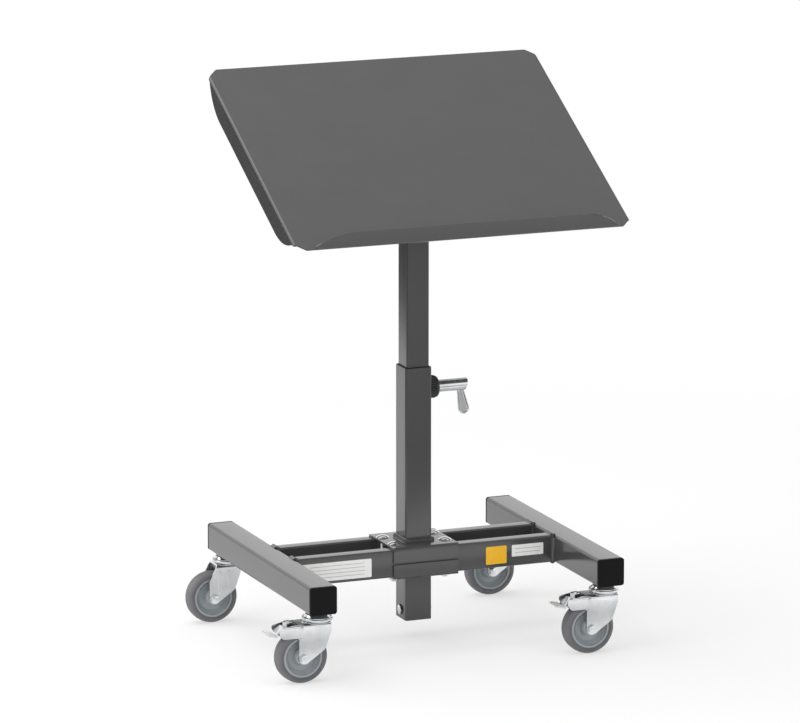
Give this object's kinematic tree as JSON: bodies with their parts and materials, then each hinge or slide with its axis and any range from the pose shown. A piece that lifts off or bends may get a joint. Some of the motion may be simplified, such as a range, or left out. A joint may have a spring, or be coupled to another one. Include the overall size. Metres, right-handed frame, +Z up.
{
  "type": "tilting material cart",
  "caption": "Antistatic material cart: caster base with a clamped sliding carriage, a telescopic square column with a height clamp, and a folded tray that tilts.",
  "frame": {"origin": "on the floor, on the axis of the square column at the middle of its slide", "axes": "+Z up, +X to the right-hand side, the tray's low front edge and the foot brakes face -Y"},
  "size_m": [0.5485, 0.4208, 0.8116],
  "materials": {
    "painted_steel": "semi-gloss anthracite powder coat",
    "black_plastic": "fine-grained moulded black plastic",
    "zinc_steel": "bright zinc plating",
    "wheel_rim": "moulded grey polyamide",
    "tyre": "grey conductive thermoplastic rubber"
  },
  "bodies": {
    "base": {"left_beam": "painted_steel", "right_beam": "painted_steel", "end_caps": "black_plastic", "front_rail": "painted_steel", "rear_rail": "painted_steel", "rail_welds": "painted_steel", "swivel_stems": "zinc_steel", "stem_nuts": "zinc_steel"},
    "carriage": {"clamp_top_plate": "painted_steel", "clamp_bottom_plate": "painted_steel", "clamp_bolts": "zinc_steel", "clamp_nuts": "zinc_steel", "outer_tube": "painted_steel", "column_weld": "painted_steel", "guide_bush": "black_plastic", "stop_bolt": "zinc_steel", "stop_sleeve": "black_plastic", "stop_nut": "zinc_steel", "clamp_boss": "black_plastic"},
    "pressure_pad": {"clamp_pad": "black_plastic"},
    "clamp_handle": {"clamp_spindle": "zinc_steel", "clamp_barrel": "zinc_steel", "clamp_lever": "zinc_steel"},
    "mast": {"mast_tube": "painted_steel", "mast_foot": "black_plastic", "pivot_bushes": "black_plastic", "tilt_bolt": "zinc_steel", "tilt_spacer": "zinc_steel"},
    "tilt_handle": {"tilt_lever": "black_plastic"},
    "tray": {"tray": "painted_steel", "left_bracket": "painted_steel", "right_bracket": "painted_steel", "pivot_bolt": "zinc_steel"},
    "caster_front_left": {"swivel_ring_front_left": "zinc_steel", "fork_front_left": "zinc_steel", "axle_front_left": "zinc_steel", "brake_rivet_front_left": "zinc_steel"},
    "wheel_front_left": {"rim_front_left": "wheel_rim", "tyre_front_left": "tyre"},
    "brake_front_left": {"pedal_front_left": "zinc_steel", "brake_block_front_left": "zinc_steel"},
    "caster_front_right": {"swivel_ring_front_right": "zinc_steel", "fork_front_right": "zinc_steel", "axle_front_right": "zinc_steel", "brake_rivet_front_right": "zinc_steel"},
    "wheel_front_right": {"rim_front_right": "wheel_rim", "tyre_front_right": "tyre"},
    "brake_front_right": {"pedal_front_right": "zinc_steel", "brake_block_front_right": "zinc_steel"},
    "caster_rear_left": {"swivel_ring_rear_left": "zinc_steel", "fork_rear_left": "zinc_steel", "axle_rear_left": "zinc_steel"},
    "wheel_rear_left": {"rim_rear_left": "wheel_rim", "tyre_rear_left": "tyre"},
    "caster_rear_right": {"swivel_ring_rear_right": "zinc_steel", "fork_rear_right": "zinc_steel", "axle_rear_right": "zinc_steel"},
    "wheel_rear_right": {"rim_rear_right": "wheel_rim", "tyre_rear_right": "tyre"}
  },
  "joints": [
    {"name": "carriage_slide", "type": "slide", "parent": "base", "child": "carriage", "axis": [1, 0, 0], "range_m": [-0.135, 0.135]},
    {"name": "mast_lift", "type": "slide", "parent": "carriage", "child": "mast", "axis": [0, 0, 1], "range_m": [-0.22, 0.045]},
    {"name": "tray_tilt", "type": "hinge", "parent": "mast", "child": "tray", "pos_m": [0, 0, 0.681], "axis": [1, 0, 0], "range_deg": [-28.5, 16.5]},
    {"name": "clamp_travel", "type": "slide", "parent": "carriage", "child": "pressure_pad", "axis": [1, 0, 0], "range_m": [0, 0.0015]},
    {"name": "clamp_turn", "type": "hinge", "parent": "pressure_pad", "child": "clamp_handle", "pos_m": [0.0205, 0, 0.363], "axis": [1, 0, 0], "range_deg": [0, 360]},
    {"name": "tilt_clamp_turn", "type": "hinge", "parent": "mast", "child": "tilt_handle", "pos_m": [-0.03, 0, 0.636], "axis": [1, 0, 0], "range_deg": [-90, 0]},
    {"name": "swivel_front_left", "type": "hinge", "parent": "base", "child": "caster_front_left", "pos_m": [-0.218, -0.181, 0.09], "axis": [0, 0, 1], "continuous": true},
    {"name": "roll_front_left", "type": "hinge", "parent": "caster_front_left", "child": "wheel_front_left", "pos_m": [-0.243, -0.181, 0.0375], "axis": [0, 1, 0], "continuous": true},
    {"name": "pedal_front_left", "type": "hinge", "parent": "caster_front_left", "child": "brake_front_left", "pos_m": [-0.247, -0.181, 0.0805], "axis": [0, -1, 0], "range_deg": [0, 7]},
    {"name": "swivel_front_right", "type": "hinge", "parent": "base", "child": "caster_front_right", "pos_m": [0.218, -0.181, 0.09], "axis": [0, 0, 1], "continuous": true},
    {"name": "roll_front_right", "type": "hinge", "parent": "caster_front_right", "child": "wheel_front_right", "pos_m": [0.193, -0.181, 0.0375], "axis": [0, 1, 0], "continuous": true},
    {"name": "pedal_front_right", "type": "hinge", "parent": "caster_front_right", "child": "brake_front_right", "pos_m": [0.189, -0.181, 0.0805], "axis": [0, -1, 0], "range_deg": [0, 7]},
    {"name": "swivel_rear_left", "type": "hinge", "parent": "base", "child": "caster_rear_left", "pos_m": [-0.218, 0.181, 0.09], "axis": [0, 0, 1], "continuous": true},
    {"name": "roll_rear_left", "type": "hinge", "parent": "caster_rear_left", "child": "wheel_rear_left", "pos_m": [-0.243, 0.181, 0.0375], "axis": [0, 1, 0], "continuous": true},
    {"name": "swivel_rear_right", "type": "hinge", "parent": "base", "child": "caster_rear_right", "pos_m": [0.218, 0.181, 0.09], "axis": [0, 0, 1], "continuous": true},
    {"name": "roll_rear_right", "type": "hinge", "parent": "caster_rear_right", "child": "wheel_rear_right", "pos_m": [0.193, 0.181, 0.0375], "axis": [0, 1, 0], "continuous": true}
  ],
  "couplings": [
    {"joint": "clamp_turn", "follows": "clamp_travel", "rad_per_m": 4188.8}
  ]
}
